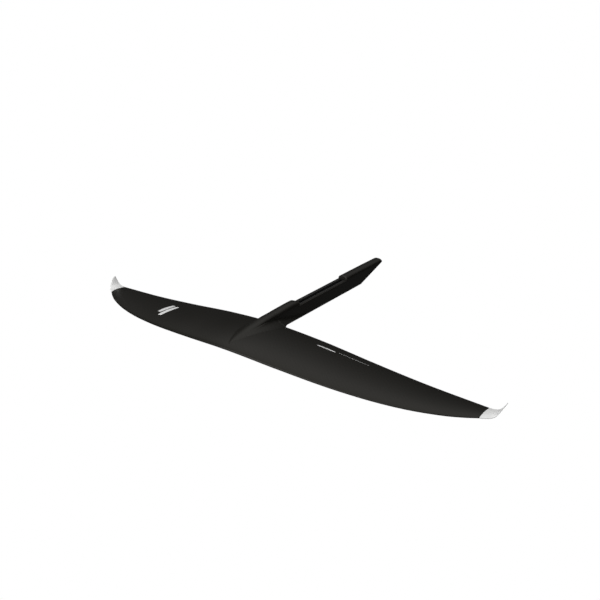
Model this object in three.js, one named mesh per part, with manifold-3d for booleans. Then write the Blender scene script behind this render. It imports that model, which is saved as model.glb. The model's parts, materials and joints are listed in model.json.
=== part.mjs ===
// Hydrofoil front wing with its fuselage stub: a carbon wing with upturned tips, a nose fairing that
// grows out of its top, and a narrow stub with a slot for the foot of a mast.
// Millimetres. +X is the right-hand tip, +Y is aft, +Z is up. The pieces are drawn from the trailing edge
// on the centre plane, and the whole is then moved so that the origin is the middle of the slot's floor.
import * as THREE from 'three';
import { mergeVertices } from 'three/addons/utils/BufferGeometryUtils.js';
import Module from 'manifold-3d';

const wasm = await Module();
wasm.setup();

// ---------------------------------------------------------------------------------------------------
// Driving dimensions
// ---------------------------------------------------------------------------------------------------
const GAP = 0.3;                 // between pieces that are bonded together

const PANEL_SPAN = 450;          // centre to the paint line, where the winglet cap starts
const LEADING_EDGE_Y = [         // [distance from the centre, y]
  [0, -138.1], [90, -131.8], [180, -120.4], [270, -103.3],
  [345, -82], [400, -59.3], [430, -42], [450, -27.6],
];
const TRAILING_EDGE_Y = [[0, 0], [110, 7.5], [225, 11.3], [450, 13.2]];
const TRAILING_EDGE_Z = [[0, 0], [110, -9.1], [220, -21.8], [330, -31.5], [450, -37.2]];
const NOSE_DROOP = [[0, -2.6], [225, 0.1], [450, 0.8]];     // leading edge over trailing edge
const WINGLET_LEADING_EDGE = [   // [share of the way to the tip, x, y, z]
  [0, 450, -27.6, -36.4], [0.25, 459, -22.8, -36.4], [0.5, 466.4, -17.2, -35.9],
  [0.65, 471.4, -12.3, -33.3], [0.8, 475.6, -5, -26.6], [0.92, 478.7, 1.8, -20.2], [1, 480.3, 9.2, -16.4],
];
const WINGLET_TRAILING_EDGE = [
  [0, 450, 13.2, -37.2], [0.25, 458.5, 13.2, -36.6], [0.5, 465.2, 13.1, -34.9], [0.65, 469.8, 13, -31.8],
  [0.8, 474.6, 12.7, -25.8], [0.92, 478.4, 12.4, -20], [1, 480, 12.2, -16.4],
];
// [panel share, twice the upper side's half thickness over the chord]
const THICKNESS = [[0, 0.135], [0.4, 0.115], [1, 0.085], [2, 0.05]];
const LOWER_SHARE = 0.6;         // half thickness of the lower side over that of the upper side
const CAMBER = 0.03;             // height of the mean line over the chord
const EDGE = 0.35;               // half the thickness of the leading and trailing edges
const SKIN = 1.4;                // wing laminate
const SOLID_FROM = 0.94;         // panel share from which the laminate is solid
const SPAR_CHORD = [0.25, 0.4];  // share of the chord
const FRONT_CORE_CHORD = [0.07, 0.24];
const REAR_CORE_CHORD = [0.41, 0.7];
const SPAR_END = 0.93;           // panel share
const CORE_END = 0.82;
const CORE_START = 0.012;

const FUSELAGE_HALF_WIDTH = 11.7;
const FUSELAGE_BOTTOM_Z = -13.1;
const RAIL_Z = 14.3;             // top of the rails beside the mast slot
const DOME_POWER = 2.3;          // 2 is an ellipse, more is squarer
const CROWN_Z = [
  [-126, 7.2], [-118, 9.8], [-110, 11.6], [-98, 14], [-79, 17], [-60, 19.5], [-28, 22.2], [10, 23.6],
  [58, 25], [250, 22.9], [330, 22.5], [394.6, 21.5],
];
const NOSE_Y = -126;
const BELL_POWER = 1.6;          // how soon the swelling runs out onto the wing
const BELL_UNTIL_Y = -105;       // the fairing is a swelling up to here
const WALL_FROM_Y = -8;          // and has side walls from here
const FAIRING_END_Y = 2.7;
const STUB_START_Y = 3;
const STUB_END_Y = 397.4;
const TAIL_ROUNDING = 2.8;
const TAIL_DRAW_IN = 0.8;        // narrowing for each millimetre that the rounded end falls
const NOSE_HALF_WIDTH = [[-126, 0.8], [-90, 6.3], [-60, 9.4], [-28, 11.3], [3, 11.7]];
const FLARE_HALF_WIDTH = [
  [-126, 2.4], [-118, 6.8], [-110, 10], [-98, 14.4], [-86, 18.8],
  [-72, 23], [-50, 27.4], [-12, 31], [3, 31],
];
const FLARE_TOP_Z = [
  [-90, 12.6], [-46, 15.6], [-20, 13.5], [10, 9], [30, 4.6], [49, 0.6], [70, -3.4], [111, -10],
];
const STUB_FLARE = [[3, 19.3], [12, 14.4], [25, 11], [40, 7.8], [60, 4.5], [85, 1.7], [112, 0]];
const FLARE_EDGE_Z = [
  [3, -0.4], [12, -1.9], [25, -4.1], [40, -6.6], [60, -9.2], [85, -11.3], [112, -12.5],
];
const FLARE_TURN = [10, 60].map(THREE.MathUtils.degToRad);  // how far the flare's hollow turns
const FLARE_MIN_HEIGHT = 0.5;
const FLARE_EDGE = 0.4;          // thickness of the flare's edge
const KEEL_START_Y = -104;
const KEEL_Z = [[-104, -5.9], [-92, -7.4], [-75, -9.4], [-50, -11.4], [-25, -12.6], [3, -13.1]];
const KEEL_HALF_WIDTH = [[-104, 1.4], [-90, 4.4], [-70, 7], [-50, 8.8], [-25, 10.6], [3, 11.5]];
const KEEL_FLARE_HALF_WIDTH = [[-104, 2.4], [-90, 8.5], [-70, 13.5], [-50, 17.5], [-25, 22.5], [3, 27]];
const SPRING_SHARE = 0.45;       // share of a fairing's height that its arch takes

const CUT_HALF_WIDTH = 40;       // half width of the blocks that cut the stub across
const CUT_PAST = 5;              // how far a cutter runs past what it cuts
const CUT_TOP_Z = 40;
const CUT_LOW_Z = -60;

const SLOT_RAMP = [[60, 25.2], [82, 17.9]];                 // [y, z] where the dome is cut down
const RAMP_ROUND_FROM = 68;      // from here the ramp's sides draw in to a round end
const SLOT_START_Y = 84;
const SLOT_END_Y = 248;
const SLOT_HALF_WIDTH = 4.65;
const SLOT_FLOOR_Z = 2;
const LINER = 1.5;
const SIDE_WALL = 5.25;
const NOSE_WALL = 3.2;
const BOTTOM_WALL = 2.4;
const CAVITY_END_Y = 384;
const CAVITY_TOP_Z = 21.2;       // at the trailing edge, from where it falls aft
const CAVITY_FALL = 0.0075;      // per millimetre
const CAVITY_HALF_WIDTH = FUSELAGE_HALF_WIDTH - SIDE_WALL;
const CAVITY_LEAD = 2;           // how far the cavity's cutter starts before the stub
const NOSE_ROOM_STATIONS = [-66, -50, -32, -15, 0];
const NOSE_ROOM_DEPTH = 8;       // how far the nose's cutter reaches below the wing's surface
const NOSE_ROOM_WALL = 1;        // least height of the nose room's upright wall
const NOSE_ROOM_ARCH = 2;        // least height of its arched top
const SCARF = [[305.3, -13.1], [396.6, 14.8]];              // [y, z] of the slanted tail face
const SCARF_PLATE = 2.4;
const SCARF_PLATE_ALONG = [9, 76];                          // distances up the scarf face
const SCARF_CUT_ALONG = [-20, 130];

const MAST_BOLT_Y = [110, 222];
const BOLT_BORE_R = 4.2;
const FERRULE_R = 5;
const FERRULE_HEAD_R = 7.5;
const COUNTERSINK = 2.8;
const TAIL_INSERT_ALONG = [24, 52];                         // distances up the scarf face
const TAIL_INSERT_R = 5;
const TAIL_INSERT_BORE_R = 3.4;
const TAIL_INSERT_LENGTH = 12;
const TAIL_INSERT_FLOOR = 2;
const TAIL_INSERT_MOUTH = 1;     // how far its cutter stands out of the scarf face
const ROUND_SEGMENTS = 24;
const FRONT_BLOCK_SETBACK = 2;   // behind the start of the ramp
const REAR_BLOCK_LENGTH = 8;

// ---------------------------------------------------------------------------------------------------
// Materials
// ---------------------------------------------------------------------------------------------------
function plain(color, roughness, metalness) {
  return new THREE.MeshStandardMaterial({ color, roughness, metalness });
}

const carbon = () => plain(0x242321, 0.45, 0.1);
const carbonPlate = () => plain(0x1c1c1b, 0.55, 0.1);
const whitePaint = () => plain(0xe4e4e4, 0.35, 0);
const foam = () => plain(0xc9b58a, 0.95, 0);
const steel = () => plain(0x9a9c9e, 0.3, 1);

// ---------------------------------------------------------------------------------------------------
// Curves
// ---------------------------------------------------------------------------------------------------
// A smooth curve through the points [x, value, ...], by cubic pieces.
function through(points, column = 1) {
  const slope = (i) => {
    const a = points[Math.max(i - 1, 0)];
    const b = points[Math.min(i + 1, points.length - 1)];
    return (b[column] - a[column]) / (b[0] - a[0]);
  };
  return (x) => {
    const last = points.length - 1;
    const held = Math.min(Math.max(x, points[0][0]), points[last][0]);
    let i = 0;
    while (i < last - 1 && held > points[i + 1][0]) {
      i += 1;
    }
    const width = points[i + 1][0] - points[i][0];
    const t = (held - points[i][0]) / width;
    const start = points[i][column] * (1 + 2 * t) * (1 - t) ** 2 + slope(i) * width * t * (1 - t) ** 2;
    const end = points[i + 1][column] * t * t * (3 - 2 * t) - slope(i + 1) * width * t * t * (1 - t);
    return start + end;
  };
}

// The same curve, level where it crosses the centre plane.
function throughMirrored(points) {
  const mirrored = points.slice(1).reverse().map(([x, value]) => [-x, value]);
  return through([...mirrored, ...points]);
}

const leadingEdgeY = throughMirrored(LEADING_EDGE_Y);
const trailingEdgeY = throughMirrored(TRAILING_EDGE_Y);
const trailingEdgeZ = throughMirrored(TRAILING_EDGE_Z);
const noseDroop = throughMirrored(NOSE_DROOP);
const thickness = through(THICKNESS);
const crownZ = through(CROWN_Z);
const noseHalfWidth = through(NOSE_HALF_WIDTH);
const flareHalfWidth = through(FLARE_HALF_WIDTH);
const flareTopZ = through(FLARE_TOP_Z);
const stubFlare = through(STUB_FLARE);
const flareEdgeZ = through(FLARE_EDGE_Z);
const keelZ = through(KEEL_Z);
const keelHalfWidth = through(KEEL_HALF_WIDTH);
const keelFlareHalfWidth = through(KEEL_FLARE_HALF_WIDTH);

// Evenly spaced numbers, both ends included.
function steps(from, to, count) {
  return Array.from({ length: count + 1 }, (_, i) => from + ((to - from) * i) / count);
}

function clamp(value, low, high) {
  return Math.min(Math.max(value, low), high);
}

// 0 up to the first number and 1 from the second, level at both.
function easeBetween(from, to, value) {
  const t = clamp((value - from) / (to - from), 0, 1);
  return t * t * (3 - 2 * t);
}

// ---------------------------------------------------------------------------------------------------
// Solids
// ---------------------------------------------------------------------------------------------------
function geometryFrom(positions, indices) {
  const geometry = new THREE.BufferGeometry();
  geometry.setAttribute('position', new THREE.Float32BufferAttribute(positions, 3));
  geometry.setIndex(indices);
  return geometry;
}

function signedVolume(rings, triangles) {
  const points = rings.flat();
  const term = new THREE.Vector3();
  return triangles.reduce((sum, [a, b, c]) => {
    term.crossVectors(points[b], points[c]);
    return sum + points[a].dot(term);
  }, 0);
}

// The triangles that close a ring, seen along the axis named.
function capTriangles(ring, across, offset) {
  const other = across === 'x' ? 'y' : 'x';
  const flat = ring.map((p) => new THREE.Vector2(p[other], p.z));
  const turn = Math.sign(THREE.ShapeUtils.area(flat));
  return THREE.ShapeUtils.triangulateShape(flat, []).map(([a, b, c]) => {
    const own = Math.sign(THREE.ShapeUtils.area([flat[a], flat[b], flat[c]]));
    return own === turn ? [a + offset, b + offset, c + offset] : [c + offset, b + offset, a + offset];
  });
}

// A closed solid through rings of points, each ring with the same number of points.
function loft(rings, across) {
  const count = rings[0].length;
  const triangles = capTriangles(rings[0], across, 0);
  const lastOffset = (rings.length - 1) * count;
  capTriangles(rings[rings.length - 1], across, lastOffset).forEach(([a, b, c]) => {
    triangles.push([c, b, a]);
  });
  for (let i = 0; i < rings.length - 1; i += 1) {
    for (let j = 0; j < count; j += 1) {
      const a = i * count + j;
      const d = i * count + ((j + 1) % count);
      triangles.push([a, a + count, d + count], [a, d + count, d]);
    }
  }
  const outward = signedVolume(rings, triangles) > 0;
  const indices = triangles.flatMap(([a, b, c]) => (outward ? [a, b, c] : [c, b, a]));
  return geometryFrom(rings.flat().flatMap((p) => [p.x, p.y, p.z]), indices);
}

function toManifold(geometry) {
  const bare = geometry.clone();
  bare.deleteAttribute('normal');
  bare.deleteAttribute('uv');
  const merged = mergeVertices(bare, 1e-4);
  const vertProperties = new Float32Array(merged.attributes.position.array);
  const triVerts = new Uint32Array(merged.index.array);
  return new wasm.Manifold(new wasm.Mesh({ numProp: 3, vertProperties, triVerts }));
}

function cut(geometry, ...tools) {
  const solid = tools.reduce((left, tool) => left.subtract(toManifold(tool)), toManifold(geometry));
  const mesh = solid.getMesh();
  return geometryFrom(Array.from(mesh.vertProperties), Array.from(mesh.triVerts));
}

function mirrored(geometry) {
  const copy = geometry.clone();
  const position = copy.attributes.position;
  for (let i = 0; i < position.count; i += 1) {
    position.setX(i, -position.getX(i));
  }
  const index = copy.index.array;
  for (let i = 0; i < index.length; i += 3) {
    [index[i], index[i + 2]] = [index[i + 2], index[i]];
  }
  return copy;
}

// A block with the outline given as [y, z] points, from -halfWidth to +halfWidth along X.
function sideProfile(outline, halfWidth) {
  const shape = new THREE.Shape(outline.map(([y, z]) => new THREE.Vector2(y, z)));
  const geometry = new THREE.ExtrudeGeometry(shape, { depth: 2 * halfWidth, bevelEnabled: false });
  const turn = new THREE.Matrix4().set(0, 0, 1, -halfWidth, 1, 0, 0, 0, 0, 1, 0, 0, 0, 0, 0, 1);
  return geometry.applyMatrix4(turn);
}

function bolt(radius, low, high, y) {
  const geometry = new THREE.CylinderGeometry(radius, radius, high - low, ROUND_SEGMENTS);
  return geometry.rotateX(Math.PI / 2).translate(0, y, (low + high) / 2);
}

function named(name, geometry, material) {
  const mesh = new THREE.Mesh(geometry, material);
  mesh.name = name;
  return mesh;
}

// ---------------------------------------------------------------------------------------------------
// Wing
// ---------------------------------------------------------------------------------------------------
const wingletLeadingEdge = [1, 2, 3].map((column) => through(WINGLET_LEADING_EDGE, column));
const wingletTrailingEdge = [1, 2, 3].map((column) => through(WINGLET_TRAILING_EDGE, column));

// The chord line at a share of the way out: 0 is the centre, 1 the paint line and 2 the tip.
function chordLine(share) {
  if (share > 1) {
    return {
      front: new THREE.Vector3(...wingletLeadingEdge.map((curve) => curve(share - 1))),
      back: new THREE.Vector3(...wingletTrailingEdge.map((curve) => curve(share - 1))),
    };
  }
  const x = share * PANEL_SPAN;
  const z = trailingEdgeZ(x);
  return {
    front: new THREE.Vector3(x, leadingEdgeY(x), z + noseDroop(x)),
    back: new THREE.Vector3(x, trailingEdgeY(x), z),
  };
}

function sectionFrame(share) {
  const { front, back } = chordLine(share);
  const step = 0.01;
  const inner = chordLine(share - step);
  const outer = chordLine(Math.min(share + step, 2));
  const along = outer.front.add(outer.back).sub(inner.front.add(inner.back));
  const chord = back.clone().sub(front);
  const up = new THREE.Vector3().crossVectors(along, chord).normalize();
  return { front, chord, up, length: chord.length(), thickness: thickness(share) };
}

// Half the thickness of the section at a share of the chord, in millimetres. Side is 1 for the top and -1
// for the bottom. The polynomial is the four-digit aerofoil family's, with a closed trailing edge.
function halfThickness(frame, s, side) {
  const shape = 0.2969 * Math.sqrt(s) - 0.126 * s - 0.3516 * s ** 2 + 0.2843 * s ** 3 - 0.1036 * s ** 4;
  const share = side > 0 ? 1 : LOWER_SHARE;
  return 5 * frame.thickness * shape * frame.length * share + EDGE;
}

function sectionPoint(frame, s, height) {
  const mean = 4 * CAMBER * s * (1 - s) * frame.length;
  return frame.front.clone().addScaledVector(frame.chord, s).addScaledVector(frame.up, mean + height);
}

function mirrorRing(ring) {
  return ring.map((p) => new THREE.Vector3(-p.x, p.y, p.z));
}

// Rings from tip to tip, from rings of the right-hand side that start at the centre.
function bothSides(rings) {
  return [...rings.slice(1).reverse().map(mirrorRing), ...rings];
}

const CHORD_STEPS = 12;
const CHORD_SHARES = steps(0, Math.PI, CHORD_STEPS).map((angle) => (1 - Math.cos(angle)) / 2);
const PANEL_STEPS = 13;
const CENTRE_SHARES = [0, 0.03, 0.06];
const OUTER_SHARES = steps(0, Math.PI / 2, PANEL_STEPS).slice(1).map(Math.sin);
const PANEL_SHARES = [...CENTRE_SHARES, ...OUTER_SHARES];
const WINGLET_SHARES = [1.02, 1.2, 1.4, 1.52, 1.64, 1.76, 1.88, 2];
const CAP_SHARES = [1.01, ...WINGLET_SHARES.slice(1)];

// One side of the wing: side is 1 for the top and -1 for the bottom.
function skinRing(share, side) {
  const frame = sectionFrame(share);
  const laminate = share > SOLID_FROM ? Infinity : SKIN;
  const outer = CHORD_SHARES.map((s) => sectionPoint(frame, s, side * halfThickness(frame, s, side)));
  const inner = CHORD_SHARES.map((s) => {
    const depth = Math.max(halfThickness(frame, s, side) - laminate, GAP / 2);
    return sectionPoint(frame, s, side * depth);
  });
  return [...outer, ...inner.reverse()];
}

function wingTopSkin() {
  return loft(bothSides(PANEL_SHARES.map((share) => skinRing(share, 1))), 'x');
}

function wingBottomSkin() {
  const shares = [...PANEL_SHARES, ...WINGLET_SHARES];
  return loft(bothSides(shares.map((share) => skinRing(share, -1))), 'x');
}

function wingletCap() {
  return loft(CAP_SHARES.map((share) => skinRing(share, 1)), 'x');
}

const FILLER_STEPS = 4;

// A filler between the two skins, over part of the chord.
function fillerRing(share, [from, to]) {
  const frame = sectionFrame(share);
  const shares = steps(from, to, FILLER_STEPS);
  const room = (s, side) => Math.max(halfThickness(frame, s, side) - SKIN, GAP / 2) - GAP;
  const top = shares.map((s) => sectionPoint(frame, s, room(s, 1)));
  const bottom = shares.map((s) => sectionPoint(frame, s, -room(s, -1)));
  return [...top, ...bottom.reverse()];
}

function mainSpar() {
  const shares = [...PANEL_SHARES.filter((share) => share < SPAR_END)];
  return loft(bothSides(shares.map((share) => fillerRing(share, SPAR_CHORD))), 'x');
}

function foamCore(chordRange) {
  const shares = PANEL_SHARES.filter((share) => share < CORE_END);
  const rings = shares.map((share) => fillerRing(share, chordRange));
  const outward = CORE_START / PANEL_SHARES[1];
  const start = rings[0].map((point, i) => point.clone().lerp(rings[1][i], outward));
  return loft([start, ...rings.slice(1)], 'x');
}

// Height of the wing's surface over a point: side is 1 for the top and -1 for the bottom.
function wingSurfaceZ(x, y, side) {
  const frame = sectionFrame(x / PANEL_SPAN);
  const s = Math.min(Math.max((y - frame.front.y) / frame.chord.y, 0), 1);
  return sectionPoint(frame, s, side * halfThickness(frame, s, side)).z;
}

// ---------------------------------------------------------------------------------------------------
// Fuselage
// ---------------------------------------------------------------------------------------------------
const ARCH_STEPS = 9;
const FLARE_STEPS = 6;
const BASE_STEPS = 6;

// The arched top, from the crown to where it meets the side wall.
function archPoints(halfWidth, crown, spring, y) {
  return steps(0, Math.PI / 2, ARCH_STEPS).map((angle) => {
    const across = Math.sin(angle) ** (2 / DOME_POWER);
    const up = Math.max(Math.cos(angle), 0) ** (2 / DOME_POWER);
    return new THREE.Vector3(halfWidth * across, y, spring + (crown - spring) * up);
  });
}

// The hollow curve from the side wall out to the edge of the flare.
function flarePoints(halfWidth, top, edgeX, edgeZ, y) {
  const [first, last] = FLARE_TURN;
  return steps(first, last, FLARE_STEPS).map((angle) => {
    const out = (Math.cos(first) - Math.cos(angle)) / (Math.cos(first) - Math.cos(last));
    const down = (Math.sin(angle) - Math.sin(first)) / (Math.sin(last) - Math.sin(first));
    return new THREE.Vector3(halfWidth + (edgeX - halfWidth) * out, y, top - (top - edgeZ) * down);
  });
}

// A symmetrical ring from its right-hand half, which starts and ends on the centre plane.
function wholeRing(half) {
  return [...half, ...mirrorRing(half.slice(1, -1)).reverse()];
}

// The outline of a fairing with side walls: side is 1 on top of the wing and -1 underneath.
function walledOutline(y, side, halfWidth, crown, flareTop, edgeX) {
  const edge = wingSurfaceZ(edgeX, y, side) + side * (GAP + EDGE);
  const start = side * Math.max(side * flareTop, side * edge);
  const archHeight = SPRING_SHARE * Math.abs(crown - edge);
  const spring = side * Math.max(side * start, Math.min(RAIL_Z, side * crown - archHeight));
  return [
    ...archPoints(halfWidth, crown, spring, y),
    ...flarePoints(halfWidth, start, edgeX, edge, y).slice(1),
  ];
}

// The side of a fairing that lies on the wing, from its edge to the centre plane.
function fairingBase(y, side, edgeX) {
  return steps(edgeX, 0, BASE_STEPS).map((x) => (
    new THREE.Vector3(x, y, wingSurfaceZ(x, y, side) + side * GAP)
  ));
}

// A low swelling that runs out smoothly onto the wing.
function bellOutline(y, crown, edgeX, count) {
  const lift = GAP + EDGE;
  const rise = crown - wingSurfaceZ(0, y, 1) - lift;
  return steps(0, 1, count).map((share) => {
    const x = edgeX * share;
    const swell = rise * (1 - share ** 2) ** BELL_POWER;
    return new THREE.Vector3(x, y, wingSurfaceZ(x, y, 1) + lift + swell);
  });
}

const NOSE_STATIONS = [NOSE_Y, -120, -112, -104, -94, -84, -72, -60, -47, -34, -22, -11, 0, FAIRING_END_Y];

function noseRing(y) {
  const edgeX = flareHalfWidth(y);
  const walled = walledOutline(y, 1, noseHalfWidth(y), crownZ(y), flareTopZ(y), edgeX);
  const bell = bellOutline(y, crownZ(y), edgeX, walled.length - 1);
  const share = easeBetween(BELL_UNTIL_Y, WALL_FROM_Y, y);
  const outline = bell.map((point, i) => point.lerp(walled[i], share));
  return wholeRing([...outline, ...fairingBase(y, 1, edgeX)]);
}

function noseOuter() {
  return loft(NOSE_STATIONS.map(noseRing), 'y');
}

// The room inside the nose fairing, smaller by the allowance given.
function nosePocket(allowance, baseDrop, endY) {
  const stations = [...NOSE_ROOM_STATIONS, endY];
  return loft(stations.map((y) => {
    const halfWidth = noseHalfWidth(y) - NOSE_WALL - allowance;
    const top = crownZ(y) - NOSE_WALL - allowance;
    const base = wingSurfaceZ(0, y, 1) - baseDrop;
    const spring = clamp(RAIL_Z, base + NOSE_ROOM_WALL, top - NOSE_ROOM_ARCH);
    const foot = [new THREE.Vector3(halfWidth, y, base), new THREE.Vector3(0, y, base)];
    return wholeRing([...archPoints(halfWidth, top, spring, y), ...foot]);
  }), 'y');
}

function keelFairing() {
  const stations = [KEEL_START_Y, -92, -78, -62, -48, -34, -17, 0, FAIRING_END_Y];
  return loft(stations.map((y) => {
    const edgeX = keelFlareHalfWidth(y);
    const flareTop = (keelZ(y) + wingSurfaceZ(edgeX, y, -1)) / 2;
    const outline = walledOutline(y, -1, keelHalfWidth(y), keelZ(y), flareTop, edgeX);
    return wholeRing([...outline, ...fairingBase(y, -1, edgeX)]);
  }), 'y');
}

// How far the tail's rounded end has fallen below its full height.
function tailDrop(y) {
  const past = clamp(y - (STUB_END_Y - TAIL_ROUNDING), 0, TAIL_ROUNDING);
  return TAIL_ROUNDING - Math.sqrt(TAIL_ROUNDING ** 2 - past ** 2);
}

// One half of the stub, solid, with the flare that runs out behind the trailing edge.
function stubRing(y) {
  const inner = GAP / 2;
  const drop = tailDrop(y);
  const halfWidth = FUSELAGE_HALF_WIDTH - TAIL_DRAW_IN * drop;
  const edgeX = halfWidth + stubFlare(y);
  const edgeZ = flareEdgeZ(y);
  const top = Math.max(flareTopZ(y), edgeZ + FLARE_MIN_HEIGHT);
  const arch = archPoints(halfWidth, crownZ(y) - drop, RAIL_Z, y);
  arch[0].x = inner;
  const belly = (edgeZ - FLARE_EDGE + FUSELAGE_BOTTOM_Z) / 2;
  const under = [
    new THREE.Vector3(edgeX, y, edgeZ - FLARE_EDGE),
    new THREE.Vector3((edgeX + halfWidth) / 2, y, belly),
    new THREE.Vector3(halfWidth, y, FUSELAGE_BOTTOM_Z),
    new THREE.Vector3(inner, y, FUSELAGE_BOTTOM_Z),
  ];
  return [...arch, ...flarePoints(halfWidth, top, edgeX, edgeZ, y), ...under];
}

const TAIL_STATIONS = [0, 0.5, 0.87, 1].map((share) => STUB_END_Y - TAIL_ROUNDING * (1 - share));
const STUB_STATIONS = [
  STUB_START_Y, 12, 25, 40, 60, 85, 112, SLOT_END_Y, 330, ...TAIL_STATIONS,
];

// The room inside the stub, smaller by the allowance given, between two stations.
function cavity(from, to, allowance) {
  return loft([from, to].map((y) => {
    const halfWidth = CAVITY_HALF_WIDTH - allowance;
    const top = CAVITY_TOP_Z - CAVITY_FALL * y - allowance;
    const bottom = FUSELAGE_BOTTOM_Z + BOTTOM_WALL + allowance;
    const arch = archPoints(halfWidth, top, RAIL_Z, y);
    return wholeRing([...arch, new THREE.Vector3(halfWidth, y, bottom), new THREE.Vector3(0, y, bottom)]);
  }), 'y');
}

function slotCut() {
  const [[startY, startZ], [endY, endZ]] = SLOT_RAMP;
  const below = [[endY, endZ], [endY, RAIL_Z], [SLOT_END_Y, RAIL_Z]];
  const above = [[SLOT_END_Y, CUT_TOP_Z], [startY, CUT_TOP_Z]];
  return sideProfile([[startY, startZ], ...below, ...above], CUT_HALF_WIDTH);
}

// What is cut away beside the ramp's round end, down to the rails. It takes one side of the stub.
function roundEndCut(side) {
  const endY = SLOT_RAMP[1][0];
  const curve = steps(0, Math.PI / 2, ARCH_STEPS).map((angle) => [
    side * FUSELAGE_HALF_WIDTH * Math.cos(angle),
    RAMP_ROUND_FROM + (endY - RAMP_ROUND_FROM) * Math.sin(angle),
  ]);
  const wide = side * CUT_HALF_WIDTH;
  const corners = [[0, endY + GAP], [wide, endY + GAP], [wide, RAMP_ROUND_FROM]];
  const shape = new THREE.Shape([...curve, ...corners].map(([x, y]) => new THREE.Vector2(x, y)));
  const depth = CUT_TOP_Z - RAIL_Z;
  return new THREE.ExtrudeGeometry(shape, { depth, bevelEnabled: false }).translate(0, 0, RAIL_Z);
}

const FRONT_BLOCK_Y = SLOT_RAMP[0][0] + FRONT_BLOCK_SETBACK;
const REAR_BLOCK_END_Y = SLOT_END_Y + REAR_BLOCK_LENGTH;
const CORE_TOP_Z = SLOT_FLOOR_Z - LINER - GAP;

const scarfStart = new THREE.Vector2(...SCARF[0]);
const scarfRun = new THREE.Vector2(...SCARF[1]).sub(scarfStart).normalize();
const scarfIn = new THREE.Vector2(-scarfRun.y, scarfRun.x);

// A point given by its distance up the scarf face and its depth into the tail.
function scarfPoint(along, depth) {
  return scarfStart.clone().addScaledVector(scarfRun, along).addScaledVector(scarfIn, depth).toArray();
}

function scarfCut(depth) {
  const [low, high] = SCARF_CUT_ALONG.map((along) => scarfPoint(along, depth));
  const corners = [[high[0], CUT_LOW_Z], [low[0], CUT_LOW_Z]];
  return sideProfile([low, high, ...corners], CUT_HALF_WIDTH);
}

function tailInsertTool(along, radius, length) {
  const geometry = new THREE.CylinderGeometry(radius, radius, length, ROUND_SEGMENTS);
  return placeOnScarf(geometry.rotateX(Math.PI / 2), along, length / 2 - TAIL_INSERT_MOUTH);
}

// Turns a piece that lies along Z so that it points into the tail, at a depth below the scarf face.
function placeOnScarf(geometry, along, depth) {
  const [y, z] = scarfPoint(along, depth);
  return geometry.rotateX(Math.atan2(-scarfIn.x, scarfIn.y)).translate(0, y, z);
}

function ferruleTools(allowance) {
  const low = FUSELAGE_BOTTOM_Z - CUT_PAST;
  return MAST_BOLT_Y.flatMap((y) => [
    bolt(FERRULE_R + allowance, low, SLOT_FLOOR_Z + CUT_PAST, y),
    bolt(FERRULE_HEAD_R + allowance, low, FUSELAGE_BOTTOM_Z + BOTTOM_WALL, y),
  ]);
}

function stubShell() {
  const outer = loft(STUB_STATIONS.map(stubRing), 'y');
  const room = cavity(STUB_START_Y - CAVITY_LEAD, CAVITY_END_Y, 0);
  return cut(outer, room, slotCut(), roundEndCut(1), scarfCut(0), ...ferruleTools(GAP));
}

// Everything below the blocks that close the two ends of the slot.
function belowBlocks() {
  return sideBox(CUT_HALF_WIDTH, [0, STUB_END_Y], [CUT_LOW_Z, CORE_TOP_Z + GAP]);
}

// A box given by its half width across and by its ranges along the stub and upward.
function sideBox(halfWidth, [fromY, toY], [fromZ, toZ]) {
  return sideProfile([[fromY, fromZ], [toY, fromZ], [toY, toZ], [fromY, toZ]], halfWidth);
}

function slotFrontBlock() {
  const block = cavity(FRONT_BLOCK_Y, SLOT_START_Y - LINER - GAP, GAP);
  return cut(block, slotCut(), roundEndCut(1), roundEndCut(-1), belowBlocks());
}

// Reaches forward over the end wall of the liner, to the step where the dome begins again.
function slotRearBlock() {
  const linerEndY = SLOT_END_Y + LINER + GAP;
  const liner = sideBox(CUT_HALF_WIDTH, [SLOT_START_Y, linerEndY], [CORE_TOP_Z, RAIL_Z + GAP]);
  return cut(cavity(SLOT_END_Y, REAR_BLOCK_END_Y, GAP), belowBlocks(), liner);
}

// An open tray: its floor and four walls are the inside of the slot.
function slotLiner() {
  const low = SLOT_FLOOR_Z - LINER;
  const along = [SLOT_START_Y - LINER, SLOT_END_Y + LINER];
  const tray = sideBox(CAVITY_HALF_WIDTH - GAP, along, [low, RAIL_Z]);
  const room = sideBox(SLOT_HALF_WIDTH, [SLOT_START_Y, SLOT_END_Y], [SLOT_FLOOR_Z, RAIL_Z + CUT_PAST]);
  const bores = MAST_BOLT_Y.map((y) => bolt(BOLT_BORE_R, low - CUT_PAST, SLOT_FLOOR_Z + CUT_PAST, y));
  return cut(tray, room, ...bores);
}

function coreFront() {
  return cavity(STUB_START_Y + GAP, FRONT_BLOCK_Y - GAP, GAP);
}

function coreMid() {
  const bottom = FUSELAGE_BOTTOM_Z + BOTTOM_WALL + GAP;
  const from = FRONT_BLOCK_Y;
  const to = REAR_BLOCK_END_Y;
  const block = sideBox(CAVITY_HALF_WIDTH - GAP, [from, to], [bottom, CORE_TOP_Z]);
  const holes = MAST_BOLT_Y.map((y) => bolt(FERRULE_R + GAP, bottom - CUT_PAST, SLOT_FLOOR_Z, y));
  return cut(block, ...holes);
}

function coreTail() {
  const from = REAR_BLOCK_END_Y + GAP;
  const whole = cavity(from, CAVITY_END_Y - GAP, GAP);
  const length = TAIL_INSERT_LENGTH + TAIL_INSERT_MOUTH + GAP;
  const holes = TAIL_INSERT_ALONG.map((along) => tailInsertTool(along, TAIL_INSERT_R + GAP, length));
  return cut(whole, scarfCut(SCARF_PLATE + GAP), ...holes);
}

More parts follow.
